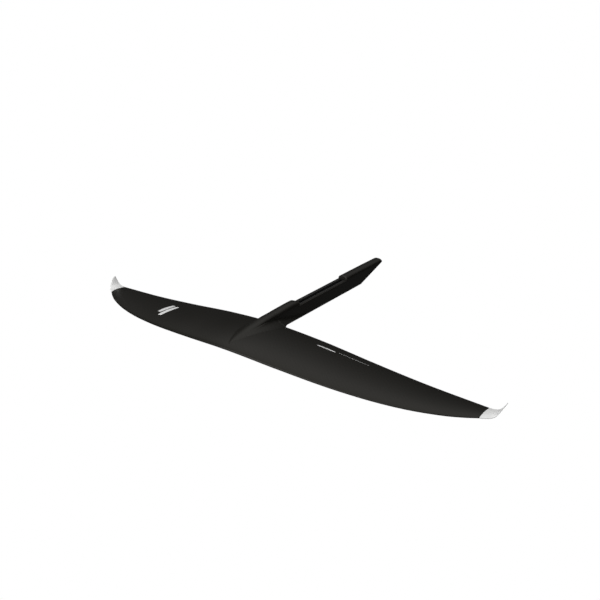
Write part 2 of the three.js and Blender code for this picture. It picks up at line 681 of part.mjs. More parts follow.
function scarfPlate() {
  const [low, high] = SCARF_PLATE_ALONG;
  const face = [scarfPoint(low, 0), scarfPoint(high, 0)];
  const back = [scarfPoint(high, SCARF_PLATE), scarfPoint(low, SCARF_PLATE)];
  const plate = sideProfile([...face, ...back], CAVITY_HALF_WIDTH - GAP);
  const holes = TAIL_INSERT_ALONG.map((along) => (
    tailInsertTool(along, TAIL_INSERT_R + GAP, TAIL_INSERT_LENGTH)
  ));
  return cut(plate, ...holes);
}

function turned(profile) {
  const points = profile.map(([r, z]) => new THREE.Vector2(r, z));
  return new THREE.LatheGeometry(points, ROUND_SEGMENTS).rotateX(Math.PI / 2);
}

// A countersunk sleeve that a mast bolt passes up through.
function ferrule() {
  const head = BOTTOM_WALL - GAP;
  const top = CORE_TOP_Z - FUSELAGE_BOTTOM_Z;
  return turned([
    [BOLT_BORE_R + COUNTERSINK, 0], [FERRULE_HEAD_R, 0], [FERRULE_HEAD_R, head], [FERRULE_R, head],
    [FERRULE_R, top], [BOLT_BORE_R, top], [BOLT_BORE_R, COUNTERSINK], [BOLT_BORE_R + COUNTERSINK, 0],
  ]);
}

// A blind threaded sleeve with its mouth on the scarf face.
function tailInsert() {
  const end = TAIL_INSERT_LENGTH;
  const floor = end - TAIL_INSERT_FLOOR;
  return turned([
    [TAIL_INSERT_BORE_R, 0], [TAIL_INSERT_R, 0], [TAIL_INSERT_R, end], [0, end],
    [0, floor], [TAIL_INSERT_BORE_R, floor], [TAIL_INSERT_BORE_R, 0],
  ]);
}

// ---------------------------------------------------------------------------------------------------
// Assembly
// ---------------------------------------------------------------------------------------------------
function wing() {
  const group = new THREE.Group();
  group.add(named('wing_top_skin', wingTopSkin(), carbon()));
  group.add(named('wing_bottom_skin', wingBottomSkin(), carbon()));
  group.add(named('main_spar', mainSpar(), carbonPlate()));
  const halves = [
    ['winglet_cap', wingletCap(), whitePaint],
    ['foam_core_front', foamCore(FRONT_CORE_CHORD), foam],
    ['foam_core_rear', foamCore(REAR_CORE_CHORD), foam],
  ];
  halves.forEach(([name, geometry, material]) => {
    group.add(named(`${name}_right`, geometry, material()));
    group.add(named(`${name}_left`, mirrored(geometry), material()));
  });
  return group;
}

function nose() {
  const group = new THREE.Group();
  const room = nosePocket(0, NOSE_ROOM_DEPTH, FAIRING_END_Y + CUT_PAST);
  group.add(named('nose_fairing', cut(noseOuter(), room), carbon()));
  group.add(named('nose_core', nosePocket(GAP, -4 * GAP, FAIRING_END_Y), foam()));
  group.add(named('keel_fairing', keelFairing(), carbon()));
  return group;
}

function stub() {
  const group = new THREE.Group();
  const shell = stubShell();
  group.add(named('fuselage_shell_right', shell, carbon()));
  group.add(named('fuselage_shell_left', mirrored(shell), carbon()));
  group.add(named('fuselage_core_front', coreFront(), foam()));
  group.add(named('fuselage_core_mid', coreMid(), foam()));
  group.add(named('fuselage_core_tail', coreTail(), foam()));
  group.add(named('slot_front_block', slotFrontBlock(), carbonPlate()));
  group.add(named('slot_rear_block', slotRearBlock(), carbonPlate()));
  group.add(named('slot_liner', slotLiner(), carbonPlate()));
  group.add(named('scarf_plate', scarfPlate(), carbonPlate()));
  return group;
}

function hardware() {
  const group = new THREE.Group();
  MAST_BOLT_Y.forEach((y, i) => {
    const mesh = named(`mast_bolt_ferrule_${i + 1}`, ferrule(), steel());
    mesh.position.set(0, y, FUSELAGE_BOTTOM_Z);
    group.add(mesh);
  });
  TAIL_INSERT_ALONG.forEach((along, i) => {
    group.add(named(`tail_insert_${i + 1}`, placeOnScarf(tailInsert(), along, 0), steel()));
  });
  return group;
}

const part = new THREE.Group();
part.add(wing(), nose(), stub(), hardware());
part.position.set(0, -(SLOT_START_Y + SLOT_END_Y) / 2, -SLOT_FLOOR_Z);

export default part;
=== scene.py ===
import json
import math

import bmesh
import bpy
from mathutils import Euler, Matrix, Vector


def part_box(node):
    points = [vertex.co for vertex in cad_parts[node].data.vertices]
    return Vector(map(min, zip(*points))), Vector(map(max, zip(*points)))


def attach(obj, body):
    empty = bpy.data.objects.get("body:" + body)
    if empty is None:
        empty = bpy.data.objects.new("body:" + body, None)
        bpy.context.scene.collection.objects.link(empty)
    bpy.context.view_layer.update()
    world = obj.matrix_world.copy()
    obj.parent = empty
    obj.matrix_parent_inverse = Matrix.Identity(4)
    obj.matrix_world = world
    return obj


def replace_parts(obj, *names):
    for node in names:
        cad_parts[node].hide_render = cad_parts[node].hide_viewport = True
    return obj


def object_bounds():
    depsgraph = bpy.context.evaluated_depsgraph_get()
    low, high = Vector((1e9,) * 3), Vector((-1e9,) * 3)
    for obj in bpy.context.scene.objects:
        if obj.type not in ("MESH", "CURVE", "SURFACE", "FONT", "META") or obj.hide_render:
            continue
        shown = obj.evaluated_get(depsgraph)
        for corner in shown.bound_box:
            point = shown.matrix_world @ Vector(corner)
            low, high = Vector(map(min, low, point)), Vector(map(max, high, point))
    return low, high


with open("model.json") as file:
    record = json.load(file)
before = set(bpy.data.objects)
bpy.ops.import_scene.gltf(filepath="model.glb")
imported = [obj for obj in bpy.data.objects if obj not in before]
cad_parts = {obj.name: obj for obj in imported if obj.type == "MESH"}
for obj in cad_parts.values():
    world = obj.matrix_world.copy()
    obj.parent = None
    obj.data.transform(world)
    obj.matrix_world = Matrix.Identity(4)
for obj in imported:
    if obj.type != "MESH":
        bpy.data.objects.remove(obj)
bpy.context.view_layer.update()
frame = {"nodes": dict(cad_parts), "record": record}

# Hydrofoil front wing with its fuselage stub. The outlines repeat the CAD source's, in millimetres from the
# trailing edge on the centre plane, with X outward, Y backward and Z up. The slot liner says where that
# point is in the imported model.
MM_PER_M = 1000
SLOT_MIDDLE_Y = 166
RAIL_Z = 14.3
LINER_LOW, LINER_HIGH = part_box("slot_liner")
LINER_MIDDLE_Y = (LINER_LOW.y + LINER_HIGH.y) / 2
DRAWN_FROM = Vector((0, LINER_MIDDLE_Y - SLOT_MIDDLE_Y / MM_PER_M, LINER_HIGH.z - RAIL_Z / MM_PER_M))

# ---------------------------------------------------------------------------------------------------
# Dimensions of the wing. A pair is a distance outward and the value there.
# ---------------------------------------------------------------------------------------------------
PANEL_SPAN = 450                 # from the centre to the paint line
LEADING_EDGE_Y = [
    (0, -138.1), (90, -131.8), (180, -120.4), (270, -103.3), (345, -82), (400, -59.3),
    (430, -42), (450, -27.6),
]
TRAILING_EDGE_Y = [(0, 0), (110, 7.5), (225, 11.3), (450, 13.2)]
TRAILING_EDGE_Z = [(0, 0), (110, -9.1), (220, -21.8), (330, -31.5), (450, -37.2)]
NOSE_DROOP = [(0, -2.6), (225, 0.1), (450, 0.8)]         # leading edge over trailing edge
WINGLET_LEADING_EDGE = [         # share of the way to the tip, x, y, z
    (0, 450, -27.6, -36.4), (0.25, 459, -22.8, -36.4), (0.5, 466.4, -17.2, -35.9),
    (0.65, 471.4, -12.3, -33.3), (0.8, 475.6, -5, -26.6), (0.92, 478.7, 1.8, -20.2), (1, 480.3, 9.2, -16.4),
]
WINGLET_TRAILING_EDGE = [
    (0, 450, 13.2, -37.2), (0.25, 458.5, 13.2, -36.6), (0.5, 465.2, 13.1, -34.9),
    (0.65, 469.8, 13, -31.8), (0.8, 474.6, 12.7, -25.8), (0.92, 478.4, 12.4, -20), (1, 480, 12.2, -16.4),
]
# Share of the way out, and twice the upper side's half thickness over the chord.
THICKNESS = [(0, 0.135), (0.4, 0.115), (1, 0.085), (2, 0.05)]
LOWER_SHARE = 0.6                # half thickness of the lower side over that of the upper side
CAMBER = 0.03
AEROFOIL = ((0.5, 0.2969), (1, -0.126), (2, -0.3516), (3, 0.2843), (4, -0.1036))     # power, factor
EDGE = 0.35                      # half the thickness that is left at both edges
SKIN = 1.4                       # how thick the laminate is
SOLID = 1000                     # a laminate that always reaches the middle
SOLID_FROM = 0.94                # the share of the way out from which the laminate is solid
MIDDLE_GAP = 0.01                # half the gap between the two skins where they meet
NEARBY = 0.01                    # how far to each side a section looks to find its own slope

CHORD_COUNT = 44
PANEL_COUNT = 64
WINGLET_COUNT = 36
CAP_START = 1.0005               # where the winglet paint starts, just past the paint line

# ---------------------------------------------------------------------------------------------------
# Dimensions of the nose, the stub and the keel. A pair is a distance backward and the value there.
# ---------------------------------------------------------------------------------------------------
HALF_WIDTH = 11.7
BOTTOM_Z = -13.1
BOTTOM_CORNER = [(0, 0.5), (0.07, 0.2), (0.2, 0.07), (0.5, 0)]      # in from the side, up from the bottom
DOME_POWER = 2.3
CROWN_Z = [
    (-128, 6.4), (-118, 9.8), (-110, 11.6), (-98, 14), (-79, 17), (-60, 19.5), (-28, 22.2), (10, 23.6),
    (58, 25), (250, 22.9), (330, 22.5), (394.6, 21.5),
]
NOSE_Y = -128
NOSE_TIP_END_Y = -100
BELL_POWER = 1.6
BELL_UNTIL_Y = -105              # the nose is a bell up to here, and a walled dome from WALL_FROM_Y
WALL_FROM_Y = -8
NOSE_HALF_WIDTH = [(-128, 0.8), (-90, 6.3), (-60, 9.4), (-28, 11.3), (3, 11.7)]
FLARE_HALF_WIDTH = [
    (-128, 1.2), (-118, 6.8), (-110, 10), (-98, 14.4), (-86, 18.8), (-72, 23), (-50, 27.4),
    (-12, 31), (3, 31),
]
FLARE_TURN = (math.radians(10), math.radians(60))       # how far the flare's hollow turns
FLARE_TOP_Z = [(-90, 12.6), (-46, 15.6), (-20, 13.5), (10, 9), (30, 4.6), (49, 0.6), (70, -3.4), (111, -10)]
STUB_START_Y = 3
STUB_END_Y = 397.4
TAIL_ROUNDING = 2.8
TAIL_NARROWING = 0.8             # how much the tail's end draws in for each millimetre that it falls
STUB_FLARE = [(3, 19.3), (12, 14.4), (25, 11), (40, 7.8), (60, 4.5), (85, 1.7), (112, 0)]
FLARE_EDGE_Z = [(3, -0.4), (12, -1.9), (25, -4.1), (40, -6.6), (60, -9.2), (85, -11.3), (112, -12.5)]
FLARE_EDGE = 0.4                 # how thick the flare's edge is
FLARE_HEIGHT = 0.5               # the least height of the flare over its edge
KEEL_START_Y = -104
KEEL_END_Y = 2.7
KEEL_Z = [(-104, -5.9), (-92, -7.4), (-75, -9.4), (-50, -11.4), (-25, -12.6), (3, -13.1)]
KEEL_HALF_WIDTH = [(-104, 1.4), (-90, 4.4), (-70, 7), (-50, 8.8), (-25, 10.6), (3, 11.5)]
KEEL_FLARE_HALF_WIDTH = [(-104, 2.4), (-90, 8.5), (-70, 13.5), (-50, 17.5), (-25, 22.5), (3, 27)]
SPRING_SHARE = 0.45              # how much of the nose's or keel's height its dome takes
SINK = 0.05                      # how far a flare's edge lies in the wing's surface
ROOT_DEPTH = 0.5                 # how far a fairing reaches into the wing

RAMP_START = (60, 25.2)
RAMP_END = (82, 17.9)
RAMP_FINE_FROM = 59
RAMP_ROUND_FROM = 68             # from here the ramp's sides draw in to a round end
SLOT_START_Y = 84
SLOT_END_Y = 248
CHANNEL_START_Y = 82.35
CHANNEL_HALF_WIDTH = 6.3
CHANNEL_FLOOR_Z = 0.35
RAIL_ROUNDING = 0.8
SCARF_START = (305.3, -13.1)
SCARF_END = (396.6, 14.8)
COVER = 0.15                     # how far a surface stands over the CAD piece that lies under it
STEP_ROUNDING = [(-COVER, 0.25), (-0.05, 0.08), (0.2, 0)]     # past the slot's end, drawn in at the edge
STEP_LENGTH = 4

CAVITY_START_Y = 1
CAVITY_END_Y = 384
CAVITY_HALF_WIDTH = 6.45
CAVITY_TOP_Z = 21.2
CAVITY_FALL = 0.0075             # how much its top falls for each millimetre backward
CAVITY_SIDE = 1                  # the least height of a cavity's straight sides
CAVITY_DOME = 2                  # the least height of its rounded top
NOSE_CAVITY_Y = (-66, -50, -32, -15, 0, 4)
NOSE_CAVITY_DEPTH = 8            # how far the nose's cavity reaches below the wing's top surface
NOSE_WALL = 3.2
BOTTOM_WALL = 2.4
BOLT_Y = (110, 222)
BOLT_HOLE_R = 5.3
BOLT_HEAD_HOLE_R = 7.8
OVERRUN = 5                      # how far a drill goes past what it cuts

TOP_COUNT = 20                   # steps in each stretch of a cross-section
ROUND_COUNT = 6
RAIL_COUNT = 4
WALL_COUNT = 5
FILLET_COUNT = 16
BASE_COUNT = 7
KEEL_TOP_COUNT = 18
KEEL_WALL_COUNT = 4
KEEL_FILLET_COUNT = 12
CAVITY_COUNT = 10
HOLE_SIDES = 48

# ---------------------------------------------------------------------------------------------------
# Printed marks
# ---------------------------------------------------------------------------------------------------
MARK_THICKNESS = 0.04            # a mark also stands half of this over the wing
MARKS = [                        # name, the two ends of its middle line, half width
    ("panel_mark_long", (-229, -86), (-227, -34), 5.5),
    ("panel_mark_short", (-243, -73), (-241, -31), 5.5),
    ("edge_mark_block", (122, -20.5), (160, -17.5), 1.9),
    ("edge_mark_line", (166, -14), (229, -11), 0.3),
]
MARK_END_POWER = 0.25            # the lower, the blunter a mark's ends are
MARK_END = 0.02                  # the least share of its width that a mark keeps

# ---------------------------------------------------------------------------------------------------
# Meshes
# ---------------------------------------------------------------------------------------------------
SMOOTH_ANGLE = math.radians(35)
WELD_DISTANCE = 2e-6             # metres
LEAST_EDGE = 1e-7


# ---------------------------------------------------------------------------------------------------
# Curves
# ---------------------------------------------------------------------------------------------------
def through(points, column=1):
    """A smooth curve through the points, by cubic pieces."""
    def slope(i):
        before = points[max(i - 1, 0)]
        after = points[min(i + 1, len(points) - 1)]
        return (after[column] - before[column]) / (after[0] - before[0])

    def curve(x):
        last = len(points) - 1
        held = min(max(x, points[0][0]), points[last][0])
        i = 0
        while i < last - 1 and held > points[i + 1][0]:
            i += 1
        width = points[i + 1][0] - points[i][0]
        t = (held - points[i][0]) / width
        start = points[i][column] * (1 + 2 * t) * (1 - t) ** 2 + slope(i) * width * t * (1 - t) ** 2
        end = points[i + 1][column] * t * t * (3 - 2 * t) - slope(i + 1) * width * t * t * (1 - t)
        return start + end

    return curve


def through_mirrored(points):
    """The same curve for an outline that is alike on both sides of the centre."""
    return through([(-x, value) for x, value in reversed(points[1:])] + points)


leading_edge_y = through_mirrored(LEADING_EDGE_Y)
trailing_edge_y = through_mirrored(TRAILING_EDGE_Y)
trailing_edge_z = through_mirrored(TRAILING_EDGE_Z)
nose_droop = through_mirrored(NOSE_DROOP)
thickness = through(THICKNESS)
winglet_front = [through(WINGLET_LEADING_EDGE, column) for column in (1, 2, 3)]
winglet_back = [through(WINGLET_TRAILING_EDGE, column) for column in (1, 2, 3)]
crown_z = through(CROWN_Z)
nose_half_width = through(NOSE_HALF_WIDTH)
flare_half_width = through(FLARE_HALF_WIDTH)
flare_top_z = through(FLARE_TOP_Z)
stub_flare = through(STUB_FLARE)
flare_edge_z = through(FLARE_EDGE_Z)
keel_z = through(KEEL_Z)
keel_half_width = through(KEEL_HALF_WIDTH)
keel_flare_half_width = through(KEEL_FLARE_HALF_WIDTH)


def steps(start, end, count):
    """Evenly spaced values, with both ends."""
    return [start + (end - start) * i / count for i in range(count + 1)]


def closing_steps(start, end, count):
    """Values that draw closer together towards the end, as a round end needs."""
    return [start + (end - start) * math.sin(math.pi / 2 * t) for t in steps(0, 1, count)]


def between(start, end, count):
    """Points on the straight line between two points."""
    run = end[0] - start[0]
    rise = end[1] - start[1]
    return [(start[0] + run * t, start[1] + rise * t) for t in steps(0, 1, count)]


def blended(first, second, share):
    """The outline that lies a share of the way from the first outline to the second."""
    return [(a[0] + (b[0] - a[0]) * share, a[1] + (b[1] - a[1]) * share) for a, b in zip(first, second)]


# ---------------------------------------------------------------------------------------------------
# Making meshes
# ---------------------------------------------------------------------------------------------------
def piece_from(name, mesh, material):
    mesh.materials.append(material)
    mesh.shade_smooth()
    mesh.set_sharp_from_angle(angle=SMOOTH_ANGLE)
    piece = bpy.data.objects.new(name, mesh)
    bpy.context.scene.collection.objects.link(piece)
    return piece


def mesh_from(name, bm):
    bmesh.ops.remove_doubles(bm, verts=bm.verts, dist=WELD_DISTANCE)
    bmesh.ops.dissolve_degenerate(bm, edges=bm.edges, dist=LEAST_EDGE)
    bmesh.ops.recalc_face_normals(bm, faces=bm.faces)
    mesh = bpy.data.meshes.new(name)
    bm.to_mesh(mesh)
    bm.free()
    return mesh


def loft_mesh(name, rings):
    """A closed mesh through rings of points in millimetres, each with the same number of points."""
    bm = bmesh.new()
    rows = [[bm.verts.new(DRAWN_FROM + Vector(point) / MM_PER_M) for point in ring] for ring in rings]
    count = len(rings[0])
    for here, there in zip(rows, rows[1:]):
        for i in range(count):
            j = (i + 1) % count
            bm.faces.new((here[i], here[j], there[j], there[i]))
    bm.faces.new(list(reversed(rows[0])))
    bm.faces.new(rows[-1])
    return mesh_from(name, bm)


def cut_away(piece, name, rings):
    """Takes the solid through the rings out of a piece."""
    tool = bpy.data.objects.new(name, loft_mesh(name, rings))
    bpy.context.scene.collection.objects.link(tool)
    modifier = piece.modifiers.new(name, "BOOLEAN")
    modifier.operation = "DIFFERENCE"
    modifier.solver = "EXACT"
    modifier.object = tool
    bpy.context.view_layer.objects.active = piece
    bpy.ops.object.modifier_apply(modifier=name)
    bpy.data.objects.remove(tool)


# ---------------------------------------------------------------------------------------------------
# Wing
# ---------------------------------------------------------------------------------------------------
CHORD_SHARES = [(1 - math.cos(math.pi * i / CHORD_COUNT)) / 2 for i in range(CHORD_COUNT + 1)]
PANEL_SHARES = closing_steps(0, 1, PANEL_COUNT)
WINGLET_SHARES = steps(1, 2, WINGLET_COUNT)[1:]


def chord_line(share):
    """The chord at a share of the way out: 0 is the centre, 1 the paint line and 2 the tip."""
    if share > 1:
        front = Vector([curve(share - 1) for curve in winglet_front])
        return front, Vector([curve(share - 1) for curve in winglet_back])
    x = share * PANEL_SPAN
    z = trailing_edge_z(x)
    return Vector((x, leading_edge_y(x), z + nose_droop(x))), Vector((x, trailing_edge_y(x), z))


class Section:
    """The aerofoil at a share of the way out. Along its chord, s runs from 0 in front to 1 behind."""

    def __init__(self, share):
        self.front, back = chord_line(share)
        self.chord = back - self.front
        self.length = self.chord.length
        self.thickness = thickness(share)
        inner = chord_line(share - NEARBY)
        outer = chord_line(min(share + NEARBY, 2))
        along = outer[0] + outer[1] - inner[0] - inner[1]
        self.up = along.cross(self.chord).normalized()

    def half(self, s, side):
        """Half the thickness of the upper side (1) or the lower side (-1), by the four-digit formula."""
        shape = sum(factor * s ** power for power, factor in AEROFOIL)
        upper = 5 * self.thickness * shape * self.length
        return upper * (1 if side > 0 else LOWER_SHARE) + EDGE

    def point(self, s, height):
        """The point at a height over the cambered middle line."""
        mean = 4 * CAMBER * s * (1 - s) * self.length
        return self.front + self.chord * s + self.up * (mean + height)


def skin_ring(share, side):
    """One cut through a skin: along its outside, and back along its inside."""
    section = Section(share)
    laminate = SOLID if share > SOLID_FROM else SKIN
    outside = []
    inside = []
    for s in CHORD_SHARES:
        half = section.half(s, side)
        outside.append(section.point(s, side * half))
        inside.append(section.point(s, side * max(half - laminate, MIDDLE_GAP)))
    return outside + inside[::-1]


def mirror(ring):
    return [(-p[0], p[1], p[2]) for p in ring]


def both_sides(rings):
    return [mirror(ring) for ring in rings[:0:-1]] + rings


def wing_surface_z(x, y, side):
    """How high the wing's upper side (1) or lower side (-1) lies at a place on the panel."""
    section = Section(abs(x) / PANEL_SPAN)
    s = min(max((y - section.front.y) / section.chord.y, 0), 1)
    return section.point(s, side * section.half(s, side)).z


def over_wing(place, height):
    """The point at a height over the wing's upper side, at a place seen from above."""
    section = Section(abs(place.x) / PANEL_SPAN)
    s = (place.y - section.front.y) / section.chord.y
    point = section.point(s, section.half(s, 1) + height)
    return Vector((math.copysign(point.x, place.x), point.y, point.z))


# ---------------------------------------------------------------------------------------------------
# Tops and flares. A half outline runs from the middle of the top outward and down, as pairs of x and z.
# ---------------------------------------------------------------------------------------------------
def fillet(half_width, top, edge_x, edge_z, count):
    """The hollow curve from the side wall out to the edge of the flare."""
    points = []
    first, last = FLARE_TURN
    for angle in steps(first, last, count):
        out = (math.cos(first) - math.cos(angle)) / (math.cos(first) - math.cos(last))
        down = (math.sin(angle) - math.sin(first)) / (math.sin(last) - math.sin(first))
        points.append((half_width + (edge_x - half_width) * out, top - (top - edge_z) * down))
    return points


def dome_point(half_width, crown, spring, angle):
    across = math.sin(angle) ** (2 / DOME_POWER)
    up = max(math.cos(angle), 0) ** (2 / DOME_POWER)
    return half_width * across, spring + (crown - spring) * up


def dome(half_width, crown, spring, count):
    """A crowned top between its crown and the height where the straight side starts."""
    return [dome_point(half_width, crown, spring, angle) for angle in steps(0, math.pi / 2, count)]


def dome_height(x, crown):
    share = max(1 - (x / HALF_WIDTH) ** DOME_POWER, 0) ** (1 / DOME_POWER)
    return RAIL_Z + (crown - RAIL_Z) * share


def rail_edge(inner):
    """The rail's flat top from a distance off the centre, and its rounded outer edge."""
    flat = between((inner, RAIL_Z), (HALF_WIDTH - RAIL_ROUNDING, RAIL_Z), RAIL_COUNT)
    arc = []
    for angle in steps(0, math.pi / 2, ROUND_COUNT):
        x = HALF_WIDTH - RAIL_ROUNDING * (1 - math.sin(angle))
        arc.append((x, RAIL_Z - RAIL_ROUNDING * (1 - math.cos(angle))))
    return flat + arc


def closed_top(half_width, crown, spring):
    """A whole dome. Its last points fall together where a rail would be."""
    return dome(half_width, crown, spring, TOP_COUNT) + [(half_width, spring)] * len(rail_edge(0))


def ramp_top(y):
    """The dome where it is cut down to the ramp, and the rails beside the ramp's round end."""
    crown = crown_z(y)
    slope = (RAMP_START[1] - RAMP_END[1]) / (RAMP_END[0] - RAMP_START[0])
    cut = RAMP_START[1] - (y - RAMP_START[0]) * slope + COVER
    past = max(y - RAMP_ROUND_FROM, 0) / (RAMP_END[0] - RAMP_ROUND_FROM)
    half_width = HALF_WIDTH * math.sqrt(max(1 - past ** 2, 0))
    top = []
    for x, _ in dome(half_width, crown, RAIL_Z, TOP_COUNT):
        top.append((x, min(cut, dome_height(x, crown))))
    if past == 0:
        return top + [(HALF_WIDTH, RAIL_Z)] * len(rail_edge(0))
    return top + rail_edge(min(half_width, HALF_WIDTH - RAIL_ROUNDING))


def rail_top():
    """The channel's half, the flat rail beside it and the rail's rounded outer edge."""
    floor = between((0, CHANNEL_FLOOR_Z), (CHANNEL_HALF_WIDTH, CHANNEL_FLOOR_Z), TOP_COUNT)
    return floor + rail_edge(CHANNEL_HALF_WIDTH)


def bell_points(crown, edge_x, y, count):
    """A low swelling that runs out smoothly onto the wing."""
    rise = crown - wing_surface_z(0, y, 1)
    points = []
    for share in steps(0, 1, count):
        x = edge_x * share
        points.append((x, wing_surface_z(x, y, 1) - SINK * share + rise * (1 - share ** 2) ** BELL_POWER))
    return points


# ---------------------------------------------------------------------------------------------------
# Cuts through the nose, the stub and the keel
# ---------------------------------------------------------------------------------------------------
def nose_half_outline(y):
    half_width = nose_half_width(y)
    crown = crown_z(y)
    edge_x = flare_half_width(y)
    edge_z = wing_surface_z(edge_x, y, 1) - SINK
    top = max(flare_top_z(y), edge_z)
    spring = min(max(top, min(RAIL_Z, crown - SPRING_SHARE * (crown - edge_z))), crown)
    walled = dome(half_width, crown, spring, TOP_COUNT)
    walled += between((half_width, spring), (half_width, top), WALL_COUNT)
    walled += fillet(half_width, top, edge_x, edge_z, FILLET_COUNT)
    t = min(max((y - BELL_UNTIL_Y) / (WALL_FROM_Y - BELL_UNTIL_Y), 0), 1)
    outline = blended(bell_points(crown, edge_x, y, len(walled) - 1), walled, t * t * (3 - 2 * t))
    doubled = [outline[TOP_COUNT]] * len(rail_edge(0))
    base = [(x, wing_surface_z(x, y, 1) - ROOT_DEPTH) for x in steps(edge_x, 0, BASE_COUNT)]
    return outline[:TOP_COUNT + 1] + doubled + outline[TOP_COUNT + 1:] + base


def scarf_z(y):
    """The slanted cut under the tail."""
    run = (SCARF_END[1] - SCARF_START[1]) / (SCARF_END[0] - SCARF_START[0])
    return SCARF_START[1] + (y - SCARF_START[0]) * run


def tail_drop(y):
    """How far the tail's rounded end has fallen below its full height."""
    past = min(max(y - (STUB_END_Y - TAIL_ROUNDING), 0), TAIL_ROUNDING)
    return TAIL_ROUNDING - math.sqrt(TAIL_ROUNDING ** 2 - past ** 2)


def stub_half_outline(y, top_kind):
    """Half of a cut through the stub, with a top of the kind dome, ramp or rail."""
    drop = tail_drop(y)
    half_width = HALF_WIDTH - TAIL_NARROWING * drop
    bottom = max(BOTTOM_Z, scarf_z(y))
    if top_kind == "rail":
        head = rail_top()
    elif top_kind == "ramp":
        head = ramp_top(y)
    else:
        head = closed_top(half_width, crown_z(y) - drop, max(RAIL_Z, bottom))
    spring = head[-1][1]
    edge_x = half_width + stub_flare(y)
    edge_z = flare_edge_z(y)
    top = min(max(flare_top_z(y), edge_z + FLARE_HEIGHT), spring)
    lower = between((half_width, spring), (half_width, top), WALL_COUNT)
    lower += fillet(half_width, top, edge_x, edge_z, FILLET_COUNT)
    lower.append((edge_x, edge_z - FLARE_EDGE))
    lower.append(((edge_x + half_width) / 2, (edge_z + BOTTOM_Z - FLARE_EDGE) / 2))
    lower += [(half_width - inward, bottom + up) for inward, up in BOTTOM_CORNER]
    lower += [(half_width / 2, bottom), (0, bottom)]
    return head + [(x, max(z, bottom)) for x, z in lower]


def keel_half_outline(y):
    """Half of a cut through the keel, which hangs under the wing as the nose stands on it."""
    half_width = keel_half_width(y)
    low = keel_z(y)
    edge_x = keel_flare_half_width(y)
    edge_z = wing_surface_z(edge_x, y, -1) + SINK
    top = min((low + edge_z) / 2, edge_z)
    spring = max(min(top, max(-RAIL_Z, low + SPRING_SHARE * abs(low - edge_z))), low)
    outline = dome(half_width, low, spring, KEEL_TOP_COUNT)
    outline += between((half_width, spring), (half_width, top), KEEL_WALL_COUNT)
    outline += fillet(half_width, top, edge_x, edge_z, KEEL_FILLET_COUNT)
    outline += [(x, wing_surface_z(x, y, -1) + ROOT_DEPTH) for x in steps(edge_x, 0, BASE_COUNT)]
    return outline


def whole_ring(half, y):
    """The closed ring of points that a half outline makes with its mirror image."""
    right = [(x, y, z) for x, z in half]
    left = [(-x, y, z) for x, z in half[-2:0:-1]]
    return right + left


def step_ring(y, inset):
    """The dome behind the slot, drawn in at its edge to round the step."""
    rise = crown_z(y) - RAIL_Z
    shrunk = []
    for x, z in stub_half_outline(y, "dome"):
        share = min(max((z - RAIL_Z) / rise, 0), 1)
        shrunk.append((x * (1 - inset / HALF_WIDTH * math.sqrt(share)), z - inset * share))
    return whole_ring(shrunk, y)


def fuselage_rings():
    """The cuts from the nose's tip to the tail's end."""
    nose = steps(NOSE_Y, NOSE_TIP_END_Y, count=22) + steps(NOSE_TIP_END_Y, KEEL_END_Y, count=46)[1:]
    ramp = steps(STUB_START_Y, RAMP_FINE_FROM, count=22) + steps(RAMP_FINE_FROM, RAMP_ROUND_FROM, count=9)[1:]
    ramp += closing_steps(RAMP_ROUND_FROM, RAMP_END[0], count=16)[1:]
    rails = [CHANNEL_START_Y] + steps(SLOT_START_Y, SLOT_END_Y - COVER, count=44)
    tail = steps(SLOT_END_Y + STEP_LENGTH, SCARF_START[0], count=14)
    tail += steps(SCARF_START[0], STUB_END_Y - TAIL_ROUNDING, count=24)[1:]
    tail += closing_steps(STUB_END_Y - TAIL_ROUNDING, STUB_END_Y, count=12)[1:]
    rings = [whole_ring(nose_half_outline(y), y) for y in nose]
    rings += [whole_ring(stub_half_outline(y, "ramp"), y) for y in ramp]
    rings += [whole_ring(stub_half_outline(y, "rail"), y) for y in rails]
    rings += [step_ring(SLOT_END_Y + past, inset) for past, inset in STEP_ROUNDING]
    rings += [whole_ring(stub_half_outline(y, "dome"), y) for y in tail]
    return rings


def keel_rings():
    return [whole_ring(keel_half_outline(y), y) for y in steps(KEEL_START_Y, KEEL_END_Y, count=40)]


# ---------------------------------------------------------------------------------------------------
# Cavities, holes and printed marks
# ---------------------------------------------------------------------------------------------------
def cavity_rings(stations, half_width, top, bottom):
    """A hollow with a rounded top. Its width, top and bottom are functions of the distance backward."""
    rings = []
    for y in stations:
        high = top(y)
        low = bottom(y)
        spring = max(low + CAVITY_SIDE, min(RAIL_Z, high - CAVITY_DOME))
        half = dome(half_width(y), high, spring, CAVITY_COUNT) + [(half_width(y), low), (0, low)]
        rings.append(whole_ring(half, y))
    return rings


def stub_cavity_rings():
    return cavity_rings(
        stations=(CAVITY_START_Y, CAVITY_END_Y),
        half_width=lambda y: CAVITY_HALF_WIDTH,
        top=lambda y: CAVITY_TOP_Z - CAVITY_FALL * y,
        bottom=lambda y: BOTTOM_Z + BOTTOM_WALL,
    )


def nose_cavity_rings():
    return cavity_rings(
        stations=NOSE_CAVITY_Y,
        half_width=lambda y: nose_half_width(y) - NOSE_WALL,
        top=lambda y: crown_z(y) - NOSE_WALL,
        bottom=lambda y: wing_surface_z(0, min(y, KEEL_END_Y), 1) - NOSE_CAVITY_DEPTH,
    )


def cylinder_rings(radius, low, high, y):
    """An upright cylinder on the centre plane."""
    def ring(z):
        turns = [2 * math.pi * i / HOLE_SIDES for i in range(HOLE_SIDES)]
        return [(radius * math.cos(turn), y + radius * math.sin(turn), z) for turn in turns]
    return [ring(low), ring(high)]


def mark_ring(middle, across, half_width):
    """One cut through a printed mark: along the wing's upper side, and back a little over it."""
    places = [middle + across * half_width * share for share in steps(-1, 1, count=8)]
    under = [over_wing(place, MARK_THICKNESS / 2) for place in places]
    return under + [over_wing(place, MARK_THICKNESS * 1.5) for place in reversed(places)]


